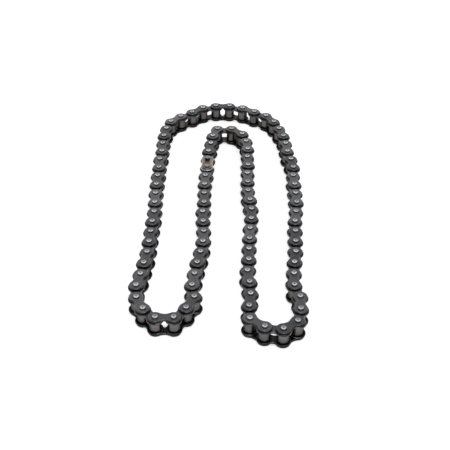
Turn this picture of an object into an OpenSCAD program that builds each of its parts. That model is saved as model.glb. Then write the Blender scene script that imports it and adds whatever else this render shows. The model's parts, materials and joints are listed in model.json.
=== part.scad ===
// Roller chain for a motorcycle, joined into one loop and laid on its side.
// Links alternate: outer links (two plates riveted on two pins) and inner links (two
// plates pressed on two bushes), with a roller turning on every bush. One outer link is
// the connecting link, with a removable cover plate held by a spring clip.
// The loop lies in the XY plane: the pins stand along Z and their lower ends are at z = 0.
// All sizes are in millimetres and all angles in degrees.

/* [Chain size] */
// Distance between neighbouring pins
pitch = 12.7; // [12.6:0.05:12.8]
// Clear width between the two inner plates
inner_width = 7.85; // [7.5:0.05:8.2]
// Outside diameter of a roller
roller_d = 8.51; // [8:0.01:8.6]
// Thickness of every link plate
plate_t = 1.5; // [1.2:0.1:2]
// Side gap between an outer plate and the inner plate next to it
side_gap = 0.1; // [0.05:0.05:0.3]

/* [Plates] */
// Height of an outer plate at its pins
outer_plate_h = 10.4; // [10:0.1:11.5]
// Height of an outer plate at its waist
outer_waist_h = 6.8; // [6:0.1:9.5]
// Height of an inner plate at its bushes
inner_plate_h = 11.8; // [11:0.1:12]
// Height of an inner plate at its waist
inner_waist_h = 7.6; // [6.5:0.1:10.5]

/* [Pins, bushes and rollers] */
// Pin diameter
pin_d = 4.45; // [4:0.05:4.5]
// Height of a pin end above its outer plate
pin_end = 0.8; // [0.4:0.1:1]
// Radial swelling of a riveted pin end
rivet_flare = 0.1; // [0.05:0.05:0.2]
// Chamfer round a pin end
pin_chamfer = 0.25; // [0.1:0.05:0.3]
// Radius of the centre dimple in a pin end
dimple_r = 0.7; // [0.4:0.1:1]
// Depth of that dimple
dimple_depth = 0.35; // [0.2:0.05:0.5]
// Outside diameter of a bush
bush_d = 6; // [5.8:0.1:6.2]
// Radial clearance of a pin in its bush, and of a roller on its bush
running_gap = 0.05; // [0.03:0.01:0.1]
// Total end play of a roller between the inner plates
roller_end_play = 0.2; // [0.1:0.05:0.4]

/* [Connecting link] */
// Height of the connecting link's plates at the waist
link_waist_h = 9; // [8:0.1:9.8]
// Thickness of the spring clip
clip_t = 0.8; // [0.6:0.1:1]
// Radius of the clip round each pin
clip_end_r = 4.3; // [3.8:0.1:4.5]
// Half height of the clip between the pins
clip_waist = 3.7; // [3:0.1:3.8]
// Radius of the pin groove that the clip sits in
groove_r = 1.7; // [1.5:0.05:1.9]
// Reach of the clip's jaws past the pin at its open end
clip_jaw = 3; // [2.5:0.1:3.5]

/* [Hidden] */
$fn = 48;
plate_grey = [0.30, 0.31, 0.33];
roller_grey = [0.42, 0.40, 0.38];
link_tan = [0.50, 0.45, 0.41];
clip_grey = [0.36, 0.33, 0.31];

// Gap left between pressed or riveted pieces, so that each stays its own solid
seat_gap = 0.01;
// Gap of the cover plate on its pins
cover_gap = 0.03;
// Gap between a swollen pin end and the plate below it
stake_gap = 0.03;
// Depth by which the waist arcs cut into the round plate ends, to meet them cleanly
waist_bite = 0.02;

pin_r = pin_d / 2;
bush_r = bush_d / 2;
bush_bore_r = pin_r + running_gap;
roller_bore_r = bush_r + running_gap;

// Heights of the plates, from the lower pin ends up
outer_low_z = pin_end;
inner_low_z = outer_low_z + plate_t + side_gap;
inner_top_z = inner_low_z + plate_t + inner_width;
outer_top_z = inner_top_z + plate_t + side_gap;
outer_face_z = outer_top_z + plate_t;
pin_len = outer_face_z + pin_end;
roller_len = inner_width - roller_end_play;
roller_z = inner_low_z + plate_t + roller_end_play / 2;
bush_len = inner_top_z + plate_t - inner_low_z;

// Connecting link: groove, clip and pin head above the cover plate
clip_gap = 0.05;
clip_z = outer_face_z + clip_gap;
groove_top_z = clip_z + clip_t + 2 * clip_gap;
head_t = 0.7;
connecting_pin_len = groove_top_z + head_t;
clip_slot = groove_r + clip_gap;
clip_window = 2;
clip_neck = 3.2;

// The lie of the chain. Each entry is [links, heading]: that many links in a row point
// that way, in degrees anticlockwise from +X. It starts at pin 93 and ends at pin 91,
// and pin 92 closes the loop. Where two stretches swing as a pair, the headings of one
// are those of the other turned by half a turn, so that the loop stays closed.
route = [
    // inner turn, down to the connecting link and over it: pins 93 to 2
    [1, 251], [1, 263], [1, 262], [1, 267], [1, 268],
    // inner left strand: pins 2 to 6, 6 to 10 and 10 to 13
    [1, 265], [1, 268], [2, 270],
    [1, 266], [2, 273], [1, 268],
    [1, 263], [1, 260], [1, 263],
    // left bend: pins 13 to 21
    [1, 263], [1, 279], [1, 245], [1, 230], [1, 180], [1, 135], [1, 115], [1, 95],
    // outer left strand: pins 21 to 24, 24 to 32 and 32 to 36
    [1, 80], [2, 83],
    [1, 87], [2, 88], [1, 87], [2, 91], [1, 90], [1, 89],
    [1, 88], [1, 90], [1, 85], [1, 90],
    // arch: pins 36 to 54
    [1, 88], [1, 83], [1, 74], [1, 47], [1, 37], [1, 40], [1, 17], [1, 0],
    [1, 343], [1, 328], [1, 326], [1, 302], [1, 289], [1, 285], [1, 276], [1, 274],
    [1, 280], [1, 276],
    // outer right strand: pins 54 to 58, 58 to 60 and 60 to 63
    [1, 266], [1, 272], [2, 270],
    [1, 264], [1, 263],
    [1, 268], [2, 267],
    // right bend: pins 63 to 77
    [1, 262], [1, 265], [1, 268], [1, 285], [1, 268], [1, 257], [1, 217],
    [1, 171], [1, 141], [1, 91], [1, 84], [1, 92], [1, 96], [1, 84],
    // inner right strand: pins 77 to 80, 80 to 84 and 84 to 88
    [1, 88], [2, 87],
    [1, 84], [1, 88], [1, 94], [1, 96],
    [2, 90], [1, 86], [1, 92],
    // inner turn, uphill side: pins 88 to 91
    [1, 87], [1, 95], [1, 105]
];
route_start = 93;

// Stretches of chain between the pivots, as [first pin, last pin]
arch = [36, 54];
outer_left_top = [32, 36];
outer_left_mid = [24, 32];
outer_left_low = [21, 24];
left_bend = [13, 21];
inner_left_low = [10, 13];
inner_left_mid = [6, 10];
inner_left_top = [2, 6];
outer_right_top = [54, 58];
outer_right_mid = [58, 60];
outer_right_low = [60, 63];
right_bend = [63, 77];
inner_right_low = [77, 80];
inner_right_mid = [80, 84];
inner_right_top = [84, 88];
inner_turn = [88, 98];

// The connecting link joins this pin to the next one
connecting_pin = 1;
// Rollers that are free to turn by themselves
free_rollers = [1, 17, 18, 43, 44, 70, 71, 92];

// Pins of the loop: one step per link along the route
headings = [for (run = route) for (i = [1:run[0]]) run[1]];
function walk(p, k) = (k == len(headings))
    ? [p]
    : concat([p], walk(p + pitch * [cos(headings[k]), sin(headings[k])], k + 1));
open_pins = walk([0, 0], 0);
// The closing pin is one pitch from both ends of the walk, on the outer side of the turn
end_a = open_pins[len(open_pins) - 1];
end_b = open_pins[0];
end_span = norm(end_b - end_a);
end_rise = sqrt(pitch * pitch - end_span * end_span / 4);
end_normal = [end_a[1] - end_b[1], end_b[0] - end_a[0]] / end_span;
closing_pin = (end_a + end_b) / 2 - end_rise * end_normal;
loop_pins = concat(open_pins, [closing_pin]);
links = len(loop_pins);
// The layout is centred on its outline
pin_xs = [for (p = loop_pins) p[0]];
pin_ys = [for (p = loop_pins) p[1]];
centre = [min(pin_xs) + max(pin_xs), min(pin_ys) + max(pin_ys)] / 2;

function pin_at(n) = loop_pins[(n - route_start + links) % links] - centre;
function link_heading(n) =
    atan2(pin_at(n + 1)[1] - pin_at(n)[1], pin_at(n + 1)[0] - pin_at(n)[0]);
function is_outer(n) = n % 2 == 1;
function is_free(n) = len([for (r = free_rollers) if (r == n % links) r]) > 0;

// Puts a link's parts in place: they are drawn from its first pin along +X
module at_link(n) {
    translate([pin_at(n)[0], pin_at(n)[1], 0]) rotate([0, 0, link_heading(n)]) children();
}

// Outline of a plate: two round ends and a waist of two arcs that meet them smoothly
module plate_outline(h, waist_h, hole_r) {
    end_r = h / 2;
    arc_r = (pitch * pitch / 4 + waist_h * waist_h / 4 - end_r * end_r) / (h - waist_h);
    arc_y = arc_r + waist_h / 2;
    web_h = 2 * arc_y * end_r / (end_r + arc_r);
    difference() {
        union() {
            for (x = [0, pitch]) translate([x, 0]) circle(r = end_r);
            translate([0, -web_h / 2]) square([pitch, web_h]);
        }
        for (s = [-1, 1]) translate([pitch / 2, s * arc_y]) circle(r = arc_r + waist_bite);
        for (x = [0, pitch]) translate([x, 0]) circle(r = hole_r);
    }
}

module outer_plate(z, waist_h, hole_r) {
    translate([0, 0, z]) linear_extrude(plate_t) plate_outline(outer_plate_h, waist_h, hole_r);
}

module inner_plate(z) {
    translate([0, 0, z]) linear_extrude(plate_t)
        plate_outline(inner_plate_h, inner_waist_h, bush_r + seat_gap);
}

// A pin riveted at both ends: each end swells above its plate and has a small dimple
module riveted_pin() {
    swell_r = pin_r + rivet_flare;
    swell_z = pin_end - stake_gap;
    rotate_extrude() polygon([
        [0, dimple_depth],
        [dimple_r, 0],
        [pin_r - pin_chamfer, 0],
        [swell_r, pin_chamfer],
        [swell_r, swell_z],
        [pin_r, swell_z],
        [pin_r, pin_len - swell_z],
        [swell_r, pin_len - swell_z],
        [swell_r, pin_len - pin_chamfer],
        [pin_r - pin_chamfer, pin_len],
        [dimple_r, pin_len],
        [0, pin_len - dimple_depth]
    ]);
}

// A pin of the connecting link: riveted below, grooved for the spring clip above
module connecting_pin_body() {
    swell_r = pin_r + rivet_flare;
    swell_z = pin_end - stake_gap;
    rotate_extrude() polygon([
        [0, dimple_depth],
        [dimple_r, 0],
        [pin_r - pin_chamfer, 0],
        [swell_r, pin_chamfer],
        [swell_r, swell_z],
        [pin_r, swell_z],
        [pin_r, outer_face_z],
        [groove_r, outer_face_z],
        [groove_r, groove_top_z],
        [pin_r, groove_top_z],
        [pin_r, connecting_pin_len - pin_chamfer],
        [pin_r - pin_chamfer, connecting_pin_len],
        [0, connecting_pin_len]
    ]);
}

module bush() {
    translate([0, 0, inner_low_z]) linear_extrude(bush_len) difference() {
        circle(r = bush_r);
        circle(r = bush_bore_r);
    }
}

// The roller is chamfered a little at both rims
module roller(n) {
    roller_r = roller_d / 2;
    rim = 0.3;
    translate([pin_at(n)[0], pin_at(n)[1], roller_z]) rotate_extrude() polygon([
        [roller_bore_r, 0],
        [roller_r - rim, 0],
        [roller_r, rim],
        [roller_r, roller_len - rim],
        [roller_r - rim, roller_len],
        [roller_bore_r, roller_len]
    ]);
}

// The riveted outer links of a stretch: plates and pins
module outer_links(stretch) {
    for (n = [stretch[0]:stretch[1] - 1]) {
        if (is_outer(n) && n % links != connecting_pin) at_link(n) {
            outer_plate(outer_low_z, outer_waist_h, pin_r + seat_gap);
            outer_plate(outer_top_z, outer_waist_h, pin_r + seat_gap);
            for (x = [0, pitch]) translate([x, 0, 0]) riveted_pin();
        }
    }
}

// The inner links of a stretch: plates and bushes
module inner_links(stretch) {
    for (n = [stretch[0]:stretch[1] - 1]) {
        if (!is_outer(n)) at_link(n) {
            inner_plate(inner_low_z);
            inner_plate(inner_top_z);
            for (x = [0, pitch]) translate([x, 0, 0]) bush();
        }
    }
}

// The rollers on the inner links of a stretch, without the ones that turn by themselves
module rollers(stretch) {
    for (n = [stretch[0]:stretch[1] - 1]) {
        if (!is_outer(n)) {
            for (m = [n, n + 1]) {
                if (!is_free(m)) roller(m);
            }
        }
    }
}

module connecting_pin_plate() {
    color(plate_grey) at_link(connecting_pin) {
        outer_plate(outer_low_z, link_waist_h, pin_r + seat_gap);
        for (x = [0, pitch]) translate([x, 0, 0]) connecting_pin_body();
    }
}

module connecting_cover_plate() {
    color(link_tan) at_link(connecting_pin)
        outer_plate(outer_top_z, link_waist_h, pin_r + cover_gap);
}

// The spring clip: closed round the second pin, open past the first one
module spring_clip() {
    color(clip_grey) at_link(connecting_pin) translate([0, 0, clip_z]) linear_extrude(clip_t)
        difference() {
            union() {
                for (x = [0, pitch]) translate([x, 0]) circle(r = clip_end_r);
                translate([0, -clip_waist]) square([pitch, 2 * clip_waist]);
            }
            translate([pitch, 0]) circle(r = clip_slot);
            translate([-2 * clip_end_r, -clip_slot]) square([pitch + 2 * clip_end_r, 2 * clip_slot]);
            translate([clip_neck, -clip_window]) square([pitch - 2 * clip_neck, 2 * clip_window]);
            translate([-clip_jaw - pitch, -pitch / 2]) square([pitch, pitch]);
        }
}

// Rollers that turn by themselves
module connecting_roller() {
    color(roller_grey) roller(free_rollers[0]);
}
module left_bend_roller_a() {
    color(roller_grey) roller(free_rollers[1]);
}
module left_bend_roller_b() {
    color(roller_grey) roller(free_rollers[2]);
}
module arch_roller_a() {
    color(roller_grey) roller(free_rollers[3]);
}
module arch_roller_b() {
    color(roller_grey) roller(free_rollers[4]);
}
module right_bend_roller_a() {
    color(roller_grey) roller(free_rollers[5]);
}
module right_bend_roller_b() {
    color(roller_grey) roller(free_rollers[6]);
}
module inner_turn_roller() {
    color(roller_grey) roller(free_rollers[7]);
}

// The stretches of the loop
module arch_outer_links() {
    color(plate_grey) outer_links(arch);
}
module arch_inner_links() {
    color(plate_grey) inner_links(arch);
}
module arch_rollers() {
    color(roller_grey) rollers(arch);
}
module outer_left_top_outer_links() {
    color(plate_grey) outer_links(outer_left_top);
}
module outer_left_top_inner_links() {
    color(plate_grey) inner_links(outer_left_top);
}
module outer_left_top_rollers() {
    color(roller_grey) rollers(outer_left_top);
}
module outer_left_mid_outer_links() {
    color(plate_grey) outer_links(outer_left_mid);
}
module outer_left_mid_inner_links() {
    color(plate_grey) inner_links(outer_left_mid);
}
module outer_left_mid_rollers() {
    color(roller_grey) rollers(outer_left_mid);
}
module outer_left_low_outer_links() {
    color(plate_grey) outer_links(outer_left_low);
}
module outer_left_low_inner_links() {
    color(plate_grey) inner_links(outer_left_low);
}
module outer_left_low_rollers() {
    color(roller_grey) rollers(outer_left_low);
}
module left_bend_outer_links() {
    color(plate_grey) outer_links(left_bend);
}
module left_bend_inner_links() {
    color(plate_grey) inner_links(left_bend);
}
module left_bend_rollers() {
    color(roller_grey) rollers(left_bend);
}
module inner_left_low_outer_links() {
    color(plate_grey) outer_links(inner_left_low);
}
module inner_left_low_inner_links() {
    color(plate_grey) inner_links(inner_left_low);
}
module inner_left_low_rollers() {
    color(roller_grey) rollers(inner_left_low);
}
module inner_left_mid_outer_links() {
    color(plate_grey) outer_links(inner_left_mid);
}
module inner_left_mid_inner_links() {
    color(plate_grey) inner_links(inner_left_mid);
}
module inner_left_mid_rollers() {
    color(roller_grey) rollers(inner_left_mid);
}
module inner_left_top_outer_links() {
    color(plate_grey) outer_links(inner_left_top);
}
module inner_left_top_inner_links() {
    color(plate_grey) inner_links(inner_left_top);
}
module inner_left_top_rollers() {
    color(roller_grey) rollers(inner_left_top);
}
module outer_right_top_outer_links() {
    color(plate_grey) outer_links(outer_right_top);
}
module outer_right_top_inner_links() {
    color(plate_grey) inner_links(outer_right_top);
}
module outer_right_top_rollers() {
    color(roller_grey) rollers(outer_right_top);
}
module outer_right_mid_outer_links() {
    color(plate_grey) outer_links(outer_right_mid);
}
module outer_right_mid_inner_links() {
    color(plate_grey) inner_links(outer_right_mid);
}
module outer_right_mid_rollers() {
    color(roller_grey) rollers(outer_right_mid);
}
module outer_right_low_outer_links() {
    color(plate_grey) outer_links(outer_right_low);
}
module outer_right_low_inner_links() {
    color(plate_grey) inner_links(outer_right_low);
}
module outer_right_low_rollers() {
    color(roller_grey) rollers(outer_right_low);
}
module right_bend_outer_links() {
    color(plate_grey) outer_links(right_bend);
}
module right_bend_inner_links() {
    color(plate_grey) inner_links(right_bend);
}
module right_bend_rollers() {
    color(roller_grey) rollers(right_bend);
}
module inner_right_low_outer_links() {
    color(plate_grey) outer_links(inner_right_low);
}
module inner_right_low_inner_links() {
    color(plate_grey) inner_links(inner_right_low);
}
module inner_right_low_rollers() {
    color(roller_grey) rollers(inner_right_low);
}
module inner_right_mid_outer_links() {
    color(plate_grey) outer_links(inner_right_mid);
}
module inner_right_mid_inner_links() {
    color(plate_grey) inner_links(inner_right_mid);
}
module inner_right_mid_rollers() {
    color(roller_grey) rollers(inner_right_mid);
}
module inner_right_top_outer_links() {
    color(plate_grey) outer_links(inner_right_top);
}
module inner_right_top_inner_links() {
    color(plate_grey) inner_links(inner_right_top);
}
module inner_right_top_rollers() {
    color(roller_grey) rollers(inner_right_top);
}
module inner_turn_outer_links() {
    color(plate_grey) outer_links(inner_turn);
}
module inner_turn_inner_links() {
    color(plate_grey) inner_links(inner_turn);
}
module inner_turn_rollers() {
    color(roller_grey) rollers(inner_turn);
}

arch_outer_links();
arch_inner_links();
arch_rollers();
outer_left_top_outer_links();
outer_left_top_inner_links();
outer_left_top_rollers();
outer_left_mid_outer_links();
outer_left_mid_inner_links();
outer_left_mid_rollers();
outer_left_low_outer_links();
outer_left_low_inner_links();
outer_left_low_rollers();
left_bend_outer_links();
left_bend_inner_links();
left_bend_rollers();
inner_left_low_outer_links();
inner_left_low_inner_links();
inner_left_low_rollers();
inner_left_mid_outer_links();
inner_left_mid_inner_links();
inner_left_mid_rollers();
inner_left_top_outer_links();
inner_left_top_inner_links();
inner_left_top_rollers();
outer_right_top_outer_links();
outer_right_top_inner_links();
outer_right_top_rollers();
outer_right_mid_outer_links();
outer_right_mid_inner_links();
outer_right_mid_rollers();
outer_right_low_outer_links();
outer_right_low_inner_links();
outer_right_low_rollers();
right_bend_outer_links();
right_bend_inner_links();
right_bend_rollers();
inner_right_low_outer_links();
inner_right_low_inner_links();
inner_right_low_rollers();
inner_right_mid_outer_links();
inner_right_mid_inner_links();
inner_right_mid_rollers();
inner_right_top_outer_links();
inner_right_top_inner_links();
inner_right_top_rollers();
inner_turn_outer_links();
inner_turn_inner_links();
inner_turn_rollers();
connecting_pin_plate();
connecting_cover_plate();
spring_clip();
connecting_roller();
left_bend_roller_a();
left_bend_roller_b();
right_bend_roller_a();
right_bend_roller_b();
arch_roller_a();
arch_roller_b();
inner_turn_roller();
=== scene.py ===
"""Looks of a motorcycle roller chain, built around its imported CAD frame.

Every plate, pin, bush, roller and the spring clip is a finished mesh that takes the place of
its plain CAD solid: rounded plate edges, spun rivet heads, crowned rollers, a bevelled clip.
Sizes here are in millimetres until a mesh is made; Blender's own units are metres.
"""
import json
import math

import bmesh
import bpy
import numpy as np
from mathutils import Matrix, Vector

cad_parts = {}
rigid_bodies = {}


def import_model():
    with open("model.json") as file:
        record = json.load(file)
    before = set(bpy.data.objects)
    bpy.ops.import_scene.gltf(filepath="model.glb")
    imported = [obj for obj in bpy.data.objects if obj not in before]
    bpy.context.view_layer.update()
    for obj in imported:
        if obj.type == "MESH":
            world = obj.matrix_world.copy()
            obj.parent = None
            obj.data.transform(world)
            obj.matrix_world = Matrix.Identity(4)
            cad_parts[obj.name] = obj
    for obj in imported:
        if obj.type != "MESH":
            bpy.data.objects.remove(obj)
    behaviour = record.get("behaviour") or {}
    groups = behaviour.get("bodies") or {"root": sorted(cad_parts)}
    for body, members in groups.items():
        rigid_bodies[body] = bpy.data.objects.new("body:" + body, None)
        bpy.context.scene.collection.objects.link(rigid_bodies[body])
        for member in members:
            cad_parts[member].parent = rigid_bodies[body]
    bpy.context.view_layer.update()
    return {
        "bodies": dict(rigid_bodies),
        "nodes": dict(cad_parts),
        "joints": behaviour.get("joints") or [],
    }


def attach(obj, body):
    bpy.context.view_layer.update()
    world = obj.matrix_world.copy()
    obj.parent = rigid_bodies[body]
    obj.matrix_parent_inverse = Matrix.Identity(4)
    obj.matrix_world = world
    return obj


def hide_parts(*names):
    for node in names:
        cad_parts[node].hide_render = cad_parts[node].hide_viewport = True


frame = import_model()

MM = 0.001
PITCH = 12.7
HALF_PITCH = PITCH / 2

THICK = 1.5
# Plates: [height at the ends, height at the waist]
OUTER_SHAPE = [10.4, 6.8]
INNER_SHAPE = [11.8, 7.6]
LINK_SHAPE = [10.4, 9.0]
PIN_R = 2.225
HEAD_R = 2.325
BUSH_R = 3.0
BUSH_BORE_R = 2.275
ROLLER_R = 4.255
ROLLER_BORE_R = 3.05
SEAT_GAP = 0.01
COVER_GAP = 0.03
PIN_END = 0.8
CONNECTING_PIN_END = 1.65
CLIP_END_R = 4.3
CLIP_SLOT = 1.75
GROOVE_R = 1.7

# Painted shade on an inner plate's face round its pins, where the outer plates' ends overhang it:
# full up to one distance from a pin, none beyond the other
END_SHADE_FULL = 4.2
END_SHADE_STOP = 5.8
# Painted shade, darker towards the bottom of the chain: none above one height, all below the other
LOW_SHADE_TOP = 9.0
LOW_SHADE_FULL = 3.5

# Sides of the turned pieces, seen from above
PIN_STEPS = 32
BUSH_STEPS = 32
ROLLER_STEPS = 40

FREE_ROLLERS = [
    "connecting_roller", "left_bend_roller_a", "left_bend_roller_b", "right_bend_roller_a",
    "right_bend_roller_b", "arch_roller_a", "arch_roller_b", "inner_turn_roller",
]


# ---------------------------------------------------------------- reading the CAD frame

def solid_boxes(node):
    """Boxes in millimetres, as [low, high], of the separate solids in a CAD node."""
    mesh = frame["nodes"][node].data
    points = np.zeros(len(mesh.vertices) * 3)
    mesh.vertices.foreach_get("co", points)
    points = points.reshape(-1, 3) / MM
    _, place = np.unique(np.round(points, 3), axis=0, return_inverse=True)
    place = place.reshape(-1)
    ends = np.zeros(len(mesh.edges) * 2, dtype=np.int64)
    mesh.edges.foreach_get("vertices", ends)
    first, second = place[ends.reshape(-1, 2)].T
    label = np.arange(place.max() + 1)
    while True:
        low = np.minimum(label[first], label[second])
        joined = label.copy()
        np.minimum.at(joined, first, low)
        np.minimum.at(joined, second, low)
        joined = joined[joined]
        if (joined == label).all():
            break
        label = joined
    owner = label[place]
    return [
        np.array([points[owner == k].min(0), points[owner == k].max(0)])
        for k in np.unique(owner)
    ]


def is_plate(box):
    """Whether a box is a plate's: pins, bushes and rollers are all far taller."""
    return box[1][2] - box[0][2] < 2 * THICK


def links_of(boxes):
    """The links of a node as (first pin, second pin), and the z of its two plate levels."""
    posts = [b.mean(0)[:2] for b in boxes if not is_plate(b)]
    plates = [b for b in boxes if is_plate(b)]
    levels = sorted({round(float(b[0][2]), 3) for b in plates})
    close = 0.1
    found = []
    for plate in plates:
        if abs(plate[0][2] - levels[0]) > close:
            continue
        middle = plate.mean(0)[:2]
        pair = [p for p in posts if abs(np.linalg.norm(p - middle) - HALF_PITCH) < close]
        found.append((pair[0], pair[1]))
    return found, levels


# ---------------------------------------------------------------- mesh templates

# Round a plate's upper edge, from its side wall over the rounding to its face: wear, which is also
# a painted highlight along the rim, and painted shade on the wall and the outer rounding
EDGE_WEAR_AND_HIGHLIGHT = [0.0, 0.1, 0.5, 1.0, 0.8]
EDGE_PAINTED_SHADE = [1.0, 1.0, 0.85, 0.25, 0.0]
# The same for the cover plate: its edge is rubbed bare, with a painted highlight over the rounding
# and a painted reflection right down its wall
LIP_WEAR_AND_HIGHLIGHT = [1.0, 1.0, 1.0, 1.0, 0.8]
LIP_PAINTED_SHADE = [0.2, 0.0, 0.0, 0.0, 0.1]


class Template:
    """Points in millimetres and faces, and for each point how worn it is, partly as a painted
    highlight, and how deep in painted shade it is (0 to 1).
    """

    def __init__(self):
        self.points = []
        self.faces = []
        self.wear_and_highlight = []
        self.painted_shade = []

    def ring(self, points, wear_and_highlight, painted_shade=0):
        """Adds points of one wear, with one painted shade or a list of them, and gives their
        numbers.
        """
        start = len(self.points)
        self.points += [tuple(p) for p in points]
        self.wear_and_highlight += [wear_and_highlight] * len(points)
        self.painted_shade += painted_shade if isinstance(painted_shade, list) else [painted_shade] * len(points)
        return list(range(start, start + len(points)))

    def bridge(self, low, high, closed=True):
        """Quads between two rings of one length. They face outwards where low, the lower one,
        runs anticlockwise."""
        count = len(low)
        for i in range(count if closed else count - 1):
            j = (i + 1) % count
            self.faces.append((low[i], low[j], high[j], high[i]))

    def merged(self):
        """The same template with points at one place joined."""
        places = {}
        index = []
        points = []
        wear_and_highlight = []
        painted_shade = []
        for p, w, d in zip(self.points, self.wear_and_highlight, self.painted_shade):
            key = tuple(round(c, 4) for c in p)
            if key not in places:
                places[key] = len(points)
                points.append(p)
                wear_and_highlight.append(w)
                painted_shade.append(d)
            index.append(places[key])
        faces = []
        for f in self.faces:
            g = []
            for i in f:
                if index[i] not in g:
                    g.append(index[i])
            if len(g) > 2:
                faces.append(tuple(g))
        made = Template()
        made.points, made.faces, made.wear_and_highlight, made.painted_shade = points, faces, wear_and_highlight, painted_shade
        return made


def half_outline(shape, inset, end_steps=26, waist_steps=9):
    """Half of a plate's edge, round the pin at x = 0, from the middle above to the middle
    below, moved inwards by inset."""
    height, waist = shape
    end_r = height / 2
    arc_r = (HALF_PITCH ** 2 + (waist / 2) ** 2 - end_r ** 2) / (height - waist)
    arc_y = arc_r + waist / 2
    meet = math.atan2(arc_y, HALF_PITCH)
    points = []
    for i in range(waist_steps):
        a = -math.pi / 2 - (math.pi / 2 - meet) * i / waist_steps
        r = arc_r + inset
        points.append((HALF_PITCH + r * math.cos(a), arc_y + r * math.sin(a)))
    for i in range(end_steps + 1):
        a = meet + (2 * math.pi - 2 * meet) * i / end_steps
        r = end_r - inset
        points.append((r * math.cos(a), r * math.sin(a)))
    points += [(x, -y) for x, y in reversed(points[:waist_steps])]
    return points


def plate_template(shape, thick, hole_r, wall_painted_shade, end_painted_shade, top_round=0.6, low_round=0.3,
                   edge=(EDGE_WEAR_AND_HIGHLIGHT, EDGE_PAINTED_SHADE)):
    """A punched plate from z = 0 up, its pins at x = 0 and x = PITCH. Its walls, by its fourth
    argument, and its upper face towards the pins, by its fifth, are in painted shade. edge is the
    wear, partly a painted highlight along the rim, and the painted shade round its upper edge."""
    made = Template()
    hold = 0.35  # a flat strip that keeps the shading of the rounding off the face
    hole_edge = 0.1
    hole_hold = 0.12
    middle_steps = 8
    top = [
        (top_round * (1 - math.sin(a)), thick - top_round * (1 - math.cos(a)))
        for a in [math.pi / 2 * i / 4 for i in range(5)]
    ]
    low = [
        (low_round * (1 - math.sin(a)), low_round * (1 - math.cos(a)))
        for a in [math.pi / 2 * i / 3 for i in range(4)]
    ]

    # Painted shade on the face round the pins, fading out between one distance and the other
    def end_shade_amounts(points, share):
        return [
            share * min(1, max(0, (END_SHADE_STOP - abs(x)) / (END_SHADE_STOP - END_SHADE_FULL)))
            for x, _ in points
        ]

    # from the lower face, round the edge, to the upper face
    rows = [(low_round + hold, 0, 0, 0)]
    rows += [(inset, z, 0, wall_painted_shade) for inset, z in low]
    rows += [
        (inset, z, w, wall_painted_shade * d)
        for (inset, z), w, d in zip(reversed(top), *edge)
    ]
    rows += [(top_round + hold, thick, 0, 0)]
    rings = []
    for inset, z, wear_and_highlight, painted_shade in rows:
        line = half_outline(shape, inset)
        # Painted shade: the row's own, and on the upper rows also the shade round the pins
        dirt_and_shade = [max(painted_shade, d) for d in end_shade_amounts(line, end_painted_shade)] if z > thick / 2 else painted_shade
        rings.append(made.ring([(x, y, z) for x, y in line], wear_and_highlight, dirt_and_shade))
    for lower, upper in zip(rings, rings[1:]):
        made.bridge(lower, upper, closed=False)
    # faces round the hole, from the edge ring and the middle line in to the hole
    for inset, z, upward in ((rows[-1][0], thick, True), (rows[0][0], 0, False)):
        loop = half_outline(shape, inset)
        reach = loop[0][1]
        loop += [
            (HALF_PITCH, -reach + 2 * reach * i / middle_steps) for i in range(1, middle_steps)
        ]
        share = end_painted_shade if upward else 0
        border = made.ring([(x, y, z) for x, y in loop], 0, end_shade_amounts(loop, share))
        inner = z - hole_edge if upward else z + hole_edge
        circles = []
        for r, cz, wear_and_highlight in ((hole_r + hole_edge + hole_hold, z, 0), (hole_r + hole_edge, z, 0.3),
                            (hole_r, inner, 0.3)):
            circle = []
            for x, y in loop:
                d = math.hypot(x, y)
                circle.append((r * x / d, r * y / d, cz))
            circles.append(made.ring(circle, wear_and_highlight, share))
        for a, b in zip([border] + circles, circles):
            if upward:
                made.bridge(a, b)
            else:
                made.bridge(b, a)
        if upward:
            upper_hole = circles[-1]
        else:
            lower_hole = circles[-1]
    made.bridge(upper_hole, lower_hole)
    # the other half is the same turned by half a turn about the middle
    count = len(made.points)
    made.points += [(PITCH - x, -y, z) for x, y, z in made.points]
    made.wear_and_highlight += made.wear_and_highlight
    made.painted_shade += made.painted_shade
    made.faces += [tuple(i + count for i in f) for f in made.faces]
    return made.merged()


def lathe(profile, steps):
    """A turned piece. The profile is (radius, z, wear, painted shade), anticlockwise with r to the
    right; it is closed by itself unless it starts and ends on the axis."""
    made = Template()
    rings = []
    for r, z, wear_and_highlight, painted_shade in profile:
        turn = [2 * math.pi * i / steps for i in range(steps)]
        circle = [(r * math.cos(a), r * math.sin(a), z) for a in turn]
        rings.append(made.ring(circle, wear_and_highlight, painted_shade))
    for lower, upper in zip(rings, rings[1:]):
        made.bridge(lower, upper)
    if profile[0][0] > 0:
        made.bridge(rings[-1], rings[0])
    return made.merged()


def rivet_head(top):
    """Profile of a spun pin end from its plate, at z = top - PIN_END, in to its centre: a side in
    painted shade, a narrow rim, and a shallow dish with a dimple in its middle, darkened at its
    centre."""
    face = top - PIN_END
    return [
        (PIN_R, face, 0, 1), (PIN_R, face + 0.03, 0, 1), (HEAD_R, face + 0.05, 0, 0.9),
        (HEAD_R, top - 0.40, 0, 0.85), (2.3, top - 0.27, 0, 0.9), (2.2, top - 0.13, 0.1, 0.95),
        (2.07, top - 0.04, 0.4, 0.9), (1.95, top, 1, 0.4), (1.8, top - 0.02, 0.8, 0),
        (1.5, top - 0.08, 0.5, 0), (1.25, top - 0.15, 0.4, 0), (0.95, top - 0.245, 0.3, 0),
        (0.6, top - 0.36, 0.2, 0.2), (0.3, top - 0.42, 0, 0.6), (0, top - 0.44, 0, 0.7),
    ]


def riveted_pin(low, top):
    """A pin with a spun end at its foot and at its top."""
    under = [(r, low + top - z, w, d) for r, z, w, d in reversed(rivet_head(top))]
    return lathe(under + rivet_head(top), PIN_STEPS)


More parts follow.
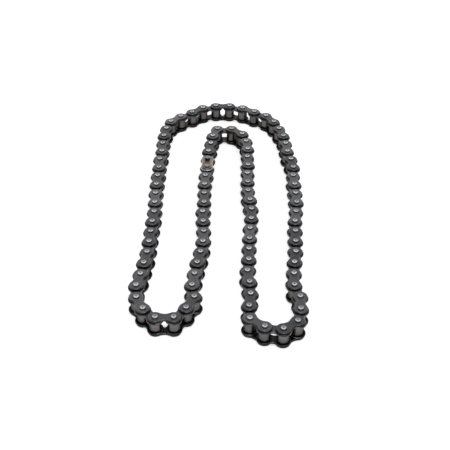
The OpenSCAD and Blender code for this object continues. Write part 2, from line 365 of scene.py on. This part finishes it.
def connecting_pin(low, top):
    """A pin with a spun lower end and, above, a groove for the clip and a rounded head."""
    under = [(r, low - z, w, d) for r, z, w, d in reversed(rivet_head(0))]
    face = top - CONNECTING_PIN_END
    neck = top - 0.7
    # Its side and groove above the link are in painted shade (the last number of each row)
    upper = [
        (PIN_R, face - 0.04, 0, 1), (2.19, face, 0.4, 1), (GROOVE_R, face + 0.02, 0, 1),
        (GROOVE_R, neck - 0.02, 0, 1), (2.16, neck, 0, 1), (PIN_R, neck + 0.06, 0, 1),
        (PIN_R, top - 0.3, 0, 1), (2.17, top - 0.15, 0.2, 0.8), (2.02, top - 0.04, 0.8, 0.2),
        (1.8, top, 0.7, 0), (0.9, top, 0.3, 0), (0, top, 0.3, 0),
    ]
    return lathe(under + upper, PIN_STEPS)


def bush_template(low, top):
    """A bush with its four edges broken."""
    edge = 0.12
    profile = [
        (BUSH_BORE_R, low + edge, 0), (BUSH_BORE_R + edge, low, 0), (BUSH_R - edge, low, 0),
        (BUSH_R, low + edge, 0.3), (BUSH_R, top - edge, 0.3), (BUSH_R - edge, top, 0),
        (BUSH_BORE_R + edge, top, 0), (BUSH_BORE_R, top - edge, 0),
    ]
    return lathe([(*row, 0) for row in profile], BUSH_STEPS)


def roller_template(low, top):
    """A roller, slightly crowned, with rounded rims and a chamfered bore."""
    middle = (low + top) / 2
    bore = 0.2
    half = [
        (ROLLER_BORE_R, low + bore, 0), (ROLLER_BORE_R + bore, low, 0.2),
        (ROLLER_R - 0.42, low, 0.4), (ROLLER_R - 0.34, low + 0.02, 0.8),
        (ROLLER_R - 0.14, low + 0.14, 1), (ROLLER_R - 0.04, low + 0.34, 0.8),
        (ROLLER_R - 0.015, low + 0.8, 0.3), (ROLLER_R, middle - 1.2, 0.1),
    ]
    upper = [(r, low + top - z, w) for r, z, w in reversed(half)]
    return lathe([(*row, 0) for row in half + upper], ROLLER_STEPS)


def clip_template(low, top):
    """The spring clip, closed round the pin at x = PITCH and open at the other one."""
    waist = 3.7  # half its width between the pins
    window = 2.0  # half the width of its slot between the pins
    neck = 3.2  # from a pin to where the slot widens
    jaw = 3.0  # from the open end's pin to its tips
    edge = 0.16
    face_depth = 0.14  # worn down to here from its upper face, and in painted shade below

    def arc(cx, r, start, end, steps):
        return [
            (cx + r * math.cos(start + (end - start) * i / steps),
             r * math.sin(start + (end - start) * i / steps))
            for i in range(steps + 1)
        ]

    join = math.asin(waist / CLIP_END_R)
    mouth = math.acos(jaw / CLIP_END_R)
    # half of the outside, from the open end to the tip of the closed one, and of the slot back
    outside = arc(0, CLIP_END_R, math.pi - mouth, join, 16)[:-1]
    outside += arc(PITCH, CLIP_END_R, math.pi - join, 0, 20)
    inside = arc(PITCH, CLIP_SLOT, 0, math.pi / 2, 8)
    inside += [(PITCH - neck, CLIP_SLOT), (PITCH - neck - 0.5, window)]
    inside += [(neck + 0.5, window), (neck, CLIP_SLOT), (1.2, CLIP_SLOT)]
    inside += [(-0.9, CLIP_SLOT), (-jaw + 0.5, CLIP_SLOT + 0.15)]
    loop = outside + [(x, -y) for x, y in reversed(outside[:-1])]
    loop += [(x, -y) for x, y in reversed(inside)] + inside[1:]
    bm = bmesh.new()
    base = [bm.verts.new((x, y, low)) for x, y in reversed(loop)]
    face = bm.faces.new(base)
    face.normal_flip()
    grown = bmesh.ops.extrude_face_region(bm, geom=[face])
    lifted = [v for v in grown["geom"] if isinstance(v, bmesh.types.BMVert)]
    bmesh.ops.translate(bm, verts=lifted, vec=(0, 0, top - low))
    bm.normal_update()
    rims = [e for e in bm.edges if abs(e.verts[0].co.z - e.verts[1].co.z) < 1e-6]
    bmesh.ops.bevel(bm, geom=rims, offset=edge, segments=3, profile=0.5, affect="EDGES",
                    clamp_overlap=True)
    bmesh.ops.recalc_face_normals(bm, faces=bm.faces)
    made = Template()
    made.points = [tuple(v.co) for v in bm.verts]
    # A worn upper face, and painted shade on the sides below it
    made.wear_and_highlight = [0.4 if v.co.z > top - face_depth else 0 for v in bm.verts]
    made.painted_shade = [0 if v.co.z > top - face_depth else 1 for v in bm.verts]
    made.faces = [tuple(v.index for v in f.verts) for f in bm.faces]
    bm.free()
    return made


# ---------------------------------------------------------------- placing templates

def shade_of(p):
    """A fixed value from 0 to 1 for a place, so that neighbours differ a little."""
    value = math.sin(p[0] * 12.9898 + p[1] * 78.233 + p[2] * 37.719) * 43758.5453
    return value - math.floor(value)


# Each copy of a template takes its texture from elsewhere, by up to this much
GRAIN_X = 97
GRAIN_Y = 61


def placed(name, body, material, items, nodes):
    """Makes one piece of templates. Each item is (template, origin, heading in radians)."""
    points, faces, grain, tone, wear_and_highlight, painted_shade, painted_low_shade = [], [], [], [], [], [], []
    start = 0
    for template, origin, heading in items:
        local = np.array(template.points)
        c, s = math.cos(heading), math.sin(heading)
        turned = np.stack([
            local[:, 0] * c - local[:, 1] * s + origin[0],
            local[:, 0] * s + local[:, 1] * c + origin[1],
            local[:, 2] + origin[2],
        ], axis=1)
        shade = shade_of(origin)
        points.append(turned)
        grain.append(local + np.array([shade * GRAIN_X, shade * GRAIN_Y, origin[2]]))
        tone.append(np.full(len(local), shade))
        wear_and_highlight.append(np.array(template.wear_and_highlight, dtype=float))
        painted_shade.append(np.array(template.painted_shade, dtype=float))
        # Painted shade, growing towards the bottom of the chain
        painted_low_shade.append(np.clip((LOW_SHADE_TOP - turned[:, 2]) / (LOW_SHADE_TOP - LOW_SHADE_FULL), 0, 1))
        faces += [tuple(i + start for i in f) for f in template.faces]
        start += len(local)
    mesh = bpy.data.meshes.new(name)
    mesh.from_pydata((np.concatenate(points) * MM).tolist(), [], faces)
    for label, kind, key, values in (
        ("grain", "FLOAT_VECTOR", "vector", np.concatenate(grain)),
        ("tone", "FLOAT", "value", np.concatenate(tone)),
        ("wear_and_highlight", "FLOAT", "value", np.concatenate(wear_and_highlight)),
        ("painted_shade", "FLOAT", "value", np.concatenate(painted_shade)),
        ("painted_low_shade", "FLOAT", "value", np.concatenate(painted_low_shade)),
    ):
        layer = mesh.attributes.new(label, kind, "POINT")
        layer.data.foreach_set(key, values.astype(np.float32).ravel())
    mesh.polygons.foreach_set("use_smooth", [True] * len(mesh.polygons))
    mesh.update()
    mesh.materials.append(material)
    piece = bpy.data.objects.new(name, mesh)
    bpy.context.scene.collection.objects.link(piece)
    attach(piece, body)
    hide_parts(*nodes)


# ---------------------------------------------------------------- materials

class Nodes:
    """Short hand for building a node tree."""

    def __init__(self, name):
        self.material = bpy.data.materials.new(name)
        self.material.use_nodes = True
        self.tree = self.material.node_tree
        self.shader = self.tree.nodes["Principled BSDF"]

    def add(self, kind, **settings):
        node = self.tree.nodes.new(kind)
        for key, value in settings.items():
            setattr(node, key, value)
        return node

    def link(self, output, socket):
        self.tree.links.new(output, socket)

    def attribute(self, name, output):
        return self.add("ShaderNodeAttribute", attribute_name=name).outputs[output]

    def noise(self, vector, scale, detail=3.0, roughness=0.55, stretch=None):
        if stretch:
            mapping = self.add("ShaderNodeMapping")
            mapping.inputs["Scale"].default_value = stretch
            self.link(vector, mapping.inputs["Vector"])
            vector = mapping.outputs["Vector"]
        node = self.add("ShaderNodeTexNoise")
        node.inputs["Scale"].default_value = scale
        node.inputs["Detail"].default_value = detail
        node.inputs["Roughness"].default_value = roughness
        self.link(vector, node.inputs["Vector"])
        return node.outputs["Fac"]

    def span(self, value, low, high, to_low, to_high):
        """The value moved from one range to another, and kept within it."""
        node = self.add("ShaderNodeMapRange")
        for key, number in zip(("From Min", "From Max", "To Min", "To Max"),
                               (low, high, to_low, to_high)):
            node.inputs[key].default_value = number
        self.link(value, node.inputs["Value"])
        return node.outputs["Result"]

    def math(self, operation, a, b):
        node = self.add("ShaderNodeMath", operation=operation)
        for socket, value in zip(node.inputs, (a, b)):
            if isinstance(value, (int, float)):
                socket.default_value = value
            else:
                self.link(value, socket)
        return node.outputs["Value"]

    def mix(self, factor, a, b, blend="MIX"):
        """A mix of two colours, whose sockets are numbers 0 (factor), 6 and 7."""
        node = self.add("ShaderNodeMix", data_type="RGBA", blend_type=blend)
        for socket, value in zip((node.inputs[0], node.inputs[6], node.inputs[7]),
                                 (factor, a, b)):
            if isinstance(value, (int, float)):
                socket.default_value = value
            elif isinstance(value, tuple):
                socket.default_value = (*value, 1)
            else:
                self.link(value, socket)
        return node.outputs[2]


# Near black: the colour of painted shade, where the mesh marks it
PAINTED_SHADE_COLOUR = (0.012, 0.012, 0.013)
RELIEF = 0.00003  # height of the steel's bumps, in metres


def steel(name, dark, light, bare_and_highlight, rough, wear_and_highlight_share=0.6, spread=0.3, dirt_and_shade=(0.02, 0.018, 0.016),
          dirt_share=0.35, grain_stretch=(0.5, 2.0, 2.0), bump=0.35, low_shade_share=0.6,
          rim_tint=1.0):
    """Heat treated steel: mottled between two greys, bare on worn edges, with a painted highlight
    along some edges, dirt in patches, and darker in painted shade towards the bottom of the chain
    and where the mesh marks it."""
    n = Nodes(name)
    place = n.attribute("grain", "Vector")
    tone = n.attribute("tone", "Fac")
    wear_and_highlight = n.attribute("wear_and_highlight", "Fac")
    # noise scales are per millimetre
    cloud = n.noise(place, 0.28, 4.0, 0.6)
    mottle = n.noise(place, 1.6, 5.0, 0.65)
    fine = n.noise(place, 7.0, 3.0, 0.6)
    streak = n.noise(place, 3.2, 3.0, 0.6, stretch=grain_stretch)

    mixed = n.math("ADD", n.math("MULTIPLY", cloud, 0.5), n.math("MULTIPLY", mottle, 0.5))
    colour = n.mix(n.span(mixed, 0.36, 0.62, 0, 1), dark, light)
    shade = n.span(tone, 0, 1, 1 - spread, 1 + spread)
    shade = n.math("MULTIPLY", shade, n.span(streak, 0.3, 0.7, 0.86, 1.12))
    shade_colour = n.add("ShaderNodeCombineColor")
    for socket in shade_colour.inputs:
        n.link(shade, socket)
    colour = n.mix(1.0, colour, shade_colour.outputs["Color"], "MULTIPLY")
    dirty = n.math("MULTIPLY", n.span(mottle, 0.50, 0.66, 0, 1), n.span(fine, 0.4, 0.6, 0.3, 1))
    colour = n.mix(n.math("MULTIPLY", dirty, dirt_share), colour, dirt_and_shade)
    # Painted shade: darker towards the bottom of the chain, in the same dark colour as the dirt
    # patches
    painted_low_shade = n.math("MULTIPLY", n.attribute("painted_low_shade", "Fac"), low_shade_share)
    colour = n.mix(painted_low_shade, colour, dirt_and_shade)
    # Bare metal where worn; along the plates' edges and the cover's lip this is also a painted
    # highlight
    rubbed_and_highlit = n.math("MULTIPLY", wear_and_highlight, n.span(n.math("ADD", mottle, n.math("MULTIPLY", fine, 0.4)),
                                             0.55, 0.85, 0.35, 1))
    rubbed_and_highlit = n.math("MULTIPLY", rubbed_and_highlit, n.span(painted_low_shade, 0, 0.8, wear_and_highlight_share, wear_and_highlight_share + 0.3))
    colour = n.mix(rubbed_and_highlit, colour, bare_and_highlight)
    # Painted shade: the colour is darkened to near black where the mesh marks it
    painted_shade_mask = n.math("MULTIPLY", n.attribute("painted_shade", "Fac"), n.span(mottle, 0.3, 0.6, 0.9, 1.0))
    colour = n.mix(painted_shade_mask, colour, PAINTED_SHADE_COLOUR)
    n.link(colour, n.shader.inputs["Base Color"])

    gloss = n.math("ADD", n.span(mottle, 0.3, 0.7, rough - 0.07, rough + 0.09),
                   n.span(fine, 0.3, 0.7, -0.04, 0.05))
    gloss = n.math("ADD", gloss, n.math("MULTIPLY", dirty, 0.15))
    gloss = n.math("SUBTRACT", gloss, n.math("MULTIPLY", rubbed_and_highlit, 0.08))
    n.link(gloss, n.shader.inputs["Roughness"])
    n.shader.inputs["Metallic"].default_value = 1.0
    n.shader.inputs["Specular Tint"].default_value = (rim_tint, rim_tint, rim_tint, 1)

    height = n.math("ADD", n.math("MULTIPLY", fine, 0.5),
                    n.math("ADD", n.math("MULTIPLY", streak, 0.6), n.math("MULTIPLY", mottle, 0.7)))
    relief = n.add("ShaderNodeBump")
    relief.inputs["Strength"].default_value = bump
    relief.inputs["Distance"].default_value = RELIEF
    n.link(height, relief.inputs["Height"])
    n.link(relief.outputs["Normal"], n.shader.inputs["Normal"])
    return n.material


outer_steel = steel("outer_plate_steel", (0.162, 0.161, 0.167), (0.243, 0.241, 0.248),
                    (0.40, 0.41, 0.44), 0.30, wear_and_highlight_share=0.5, low_shade_share=0.8)
inner_steel = steel("inner_plate_steel", (0.152, 0.151, 0.157), (0.233, 0.231, 0.238),
                    (0.38, 0.39, 0.42), 0.32, wear_and_highlight_share=0.5, low_shade_share=0.8)
pin_steel = steel("pin_steel", (0.78, 0.78, 0.78), (1.0, 1.0, 0.995), (0.98, 0.98, 0.975), 0.24,
                  wear_and_highlight_share=0.4, spread=0.15, dirt_share=0.25, bump=0.2)
link_pin_steel = steel("link_pin_tan_steel", (0.38, 0.33, 0.30), (0.52, 0.46, 0.42),
                       (0.8, 0.76, 0.72), 0.30, spread=0.05, dirt_share=0.3, bump=0.2)
bush_steel = steel("bush_steel", (0.08, 0.075, 0.07), (0.13, 0.12, 0.115), (0.2, 0.19, 0.18),
                   0.35)
roller_steel = steel("roller_turned_steel", (0.09, 0.083, 0.08), (0.17, 0.158, 0.152),
                     (0.28, 0.265, 0.255), 0.34, wear_and_highlight_share=0.4, spread=0.2,
                     grain_stretch=(2.0, 2.0, 0.4), low_shade_share=0.5, rim_tint=0.25)
# The cover's near-white bare colour also paints the highlight along its lip
cover_steel = steel("cover_tan_steel", (0.24, 0.200, 0.172), (0.335, 0.285, 0.25),
                    (0.95, 0.92, 0.88), 0.34, wear_and_highlight_share=0.9, spread=0.05, dirt_share=0.25)
clip_steel = steel("clip_tan_steel", (0.225, 0.188, 0.161), (0.31, 0.263, 0.23),
                   (0.85, 0.82, 0.78), 0.32, spread=0.05, dirt_share=0.25)


# ---------------------------------------------------------------- the chain

# The two numbers after each hole's radius are the painted shade on the plate's walls and on its
# face round the pins
outer_plate = plate_template(OUTER_SHAPE, THICK, PIN_R + SEAT_GAP, 0.95, 0)
inner_plate = plate_template(INNER_SHAPE, THICK, BUSH_R + SEAT_GAP, 0.5, 0.85)
link_plate = plate_template(LINK_SHAPE, THICK, PIN_R + SEAT_GAP, 0.95, 0)
cover_plate = plate_template(LINK_SHAPE, THICK, PIN_R + COVER_GAP, 1, 0, top_round=0.7,
                             edge=(LIP_WEAR_AND_HIGHLIGHT, LIP_PAINTED_SHADE))

outer_boxes = solid_boxes("arch_outer_links")
inner_boxes = solid_boxes("arch_inner_links")
pin_box = next(b for b in outer_boxes if not is_plate(b))
bush_box = next(b for b in inner_boxes if not is_plate(b))
roller_box = solid_boxes("arch_rollers")[0]
pin_shape = riveted_pin(pin_box[0][2], pin_box[1][2])
bush_shape = bush_template(bush_box[0][2], bush_box[1][2])
roller_shape = roller_template(roller_box[0][2], roller_box[1][2])


def heading(link):
    return math.atan2(link[1][1] - link[0][1], link[1][0] - link[0][0])


def at(point, z=0.0):
    return (point[0], point[1], z)


for body in frame["bodies"]:
    outer_node, inner_node, roller_node = (
        body + "_outer_links", body + "_inner_links", body + "_rollers")
    if outer_node not in frame["nodes"]:
        continue
    links, levels = links_of(solid_boxes(outer_node))
    plates = []
    pins = []
    for link in links:
        plates += [(outer_plate, at(link[0], z), heading(link)) for z in levels]
        pins += [(pin_shape, at(p), heading(link)) for p in link]
    placed(body + "_outer_plates", body, outer_steel, plates, [outer_node])
    placed(body + "_pins", body, pin_steel, pins, [outer_node])
    links, levels = links_of(solid_boxes(inner_node))
    plates = []
    bushes = []
    for link in links:
        plates += [(inner_plate, at(link[0], z), heading(link)) for z in levels]
        bushes += [(bush_shape, at(p), heading(link)) for p in link]
    placed(body + "_inner_plates", body, inner_steel, plates, [inner_node])
    placed(body + "_bushes", body, bush_steel, bushes, [inner_node])
    turned = [(roller_shape, at(b.mean(0)), 0.0) for b in solid_boxes(roller_node)]
    placed(body + "_turned_rollers", body, roller_steel, turned, [roller_node])

for node in FREE_ROLLERS:
    turned = [(roller_shape, at(solid_boxes(node)[0].mean(0)), 0.0)]
    placed(node + "_turned", node, roller_steel, turned, [node])

# The connecting link: its clip slides off along the link, towards its closed end
slide = next(j for j in frame["joints"] if j["name"] == "clip_slide")
clip_body = slide["child"]
link_body = slide["parent"]
along = math.atan2(slide["axis"][1], slide["axis"][0])
direction = np.array([math.cos(along), math.sin(along)])
boxes = solid_boxes("connecting_pin_plate")
posts = sorted((b for b in boxes if not is_plate(b)), key=lambda b: b.mean(0)[:2] @ direction)
lower_plate = next(b for b in boxes if is_plate(b))
cover = solid_boxes("connecting_cover_plate")[0]
clip = solid_boxes("spring_clip")[0]
start = posts[0].mean(0)
grooved = connecting_pin(posts[0][0][2], posts[0][1][2])
placed("connecting_lower_plate", link_body, outer_steel,
       [(link_plate, at(start, lower_plate[0][2]), along)], ["connecting_pin_plate"])
placed("connecting_pins", link_body, link_pin_steel,
       [(grooved, at(b.mean(0)), along) for b in posts], ["connecting_pin_plate"])
placed("connecting_cover", link_body, cover_steel,
       [(cover_plate, at(start, cover[0][2]), along)], ["connecting_cover_plate"])
clip_shape = clip_template(0.0, clip[1][2] - clip[0][2])
placed("connecting_clip", clip_body, clip_steel,
       [(clip_shape, at(start, clip[0][2]), along)], ["spring_clip"])


# ---------------------------------------------------------------- floor, light, camera

# Brightness of the surroundings, as (sine of the height above the horizon, level), and a
# faint cool tint
SKY_BACK = [(0, 1.0), (0.08, 0.98), (0.30, 0.85), (0.5, 0.65), (0.68, 0.37), (0.85, 0.22)]
SKY_FRONT = [(0, 1.0), (0.08, 0.98), (0.30, 0.55), (0.85, 0.24)]
SKY_TINT = (0.985, 0.99, 1.0)
SKY_BLEND = 0.3
FLOOR_GLOW = 0.65


def make_sky():
    """Soft studio surroundings: pale all round at the horizon, dimmer overhead, and a little
    dimmer in front than behind."""
    world = bpy.data.worlds.new("studio")
    bpy.context.scene.world = world
    world.use_nodes = True
    tree = world.node_tree
    sky = tree.nodes["Background"]
    where = tree.nodes.new("ShaderNodeTexCoord")
    split = tree.nodes.new("ShaderNodeSeparateXYZ")
    tree.links.new(where.outputs["Generated"], split.inputs["Vector"])

    def ramp(stops):
        node = tree.nodes.new("ShaderNodeValToRGB")
        tree.links.new(split.outputs["Z"], node.inputs["Fac"])
        elements = node.color_ramp.elements
        while len(elements) < len(stops):
            elements.new(0.5)
        for element, (height, level) in zip(elements, stops):
            element.position = height
            element.color = (level, level, level, 1)
        return node.outputs["Color"]

    side = tree.nodes.new("ShaderNodeMapRange")
    tree.links.new(split.outputs["Y"], side.inputs["Value"])
    side.inputs["From Min"].default_value = -SKY_BLEND
    side.inputs["From Max"].default_value = SKY_BLEND
    mix = tree.nodes.new("ShaderNodeMix")
    mix.data_type = "RGBA"
    tree.links.new(side.outputs["Result"], mix.inputs[0])
    tree.links.new(ramp(SKY_FRONT), mix.inputs[6])
    tree.links.new(ramp(SKY_BACK), mix.inputs[7])
    tint = tree.nodes.new("ShaderNodeMix")
    tint.data_type = "RGBA"
    tint.blend_type = "MULTIPLY"
    tint.inputs[0].default_value = 1
    tree.links.new(mix.outputs[2], tint.inputs[6])
    tint.inputs[7].default_value = (*SKY_TINT, 1)
    tree.links.new(tint.outputs[2], sky.inputs["Color"])
    sky.inputs["Strength"].default_value = 1


def area_light(name, place, aim, size, power):
    data = bpy.data.lights.new(name, "AREA")
    data.shape = "RECTANGLE"
    data.size, data.size_y = size
    data.energy = power
    lamp = bpy.data.objects.new(name, data)
    lamp.location = place
    lamp.rotation_euler = (Vector(aim) - Vector(place)).to_track_quat("-Z", "Y").to_euler()
    bpy.context.scene.collection.objects.link(lamp)


def make_floor():
    """A white floor that glows a little, as a lit sweep of paper does."""
    reach = 6.0
    steps = 12
    mesh = bpy.data.meshes.new("floor")
    lattice = [-reach + 2 * reach * i / steps for i in range(steps + 1)]
    points = [(x, y, 0) for y in lattice for x in lattice]
    row = steps + 1
    faces = [
        (j * row + i, j * row + i + 1, (j + 1) * row + i + 1, (j + 1) * row + i)
        for j in range(steps) for i in range(steps)
    ]
    mesh.from_pydata(points, [], faces)
    floor = bpy.data.objects.new("floor", mesh)
    bpy.context.scene.collection.objects.link(floor)
    n = Nodes("floor_white")
    n.shader.inputs["Base Color"].default_value = (0.9, 0.9, 0.9, 1)
    n.shader.inputs["Roughness"].default_value = 0.9
    n.shader.inputs["Specular IOR Level"].default_value = 0.1
    n.shader.inputs["Emission Color"].default_value = (1, 1, 1, 1)
    n.shader.inputs["Emission Strength"].default_value = FLOOR_GLOW
    mesh.materials.append(n.material)


def make_camera():
    """The photograph's view: the way it looks, the point it looks at and its distance."""
    elevation = math.radians(36.97)
    yaw = math.radians(0.45)
    roll = math.radians(0.62)
    aim = Vector((0.0028, -0.0262, 0.008))
    distance = 0.7164
    forward = Vector((
        math.sin(yaw) * math.cos(elevation),
        math.cos(yaw) * math.cos(elevation),
        -math.sin(elevation),
    ))
    level = Vector((math.cos(yaw), -math.sin(yaw), 0))
    rise = level.cross(forward)
    right = math.cos(roll) * level + math.sin(roll) * rise
    up = -math.sin(roll) * level + math.cos(roll) * rise
    data = bpy.data.cameras.new("camera")
    data.lens = 73.09
    data.sensor_width = 36.0
    data.clip_start = 0.05
    data.clip_end = 30.0
    camera = bpy.data.objects.new("camera", data)
    bpy.context.scene.collection.objects.link(camera)
    pose = Matrix((right, up, -forward)).transposed().to_4x4()
    pose.translation = aim - distance * forward
    camera.matrix_world = pose
    bpy.context.scene.camera = camera


make_sky()
make_floor()
area_light("overhead", (0.1, -0.5, 1.2), (0, 0, 0), (0.7, 0.4), 5.5)
make_camera()
bpy.context.scene.view_settings.view_transform = "Standard"
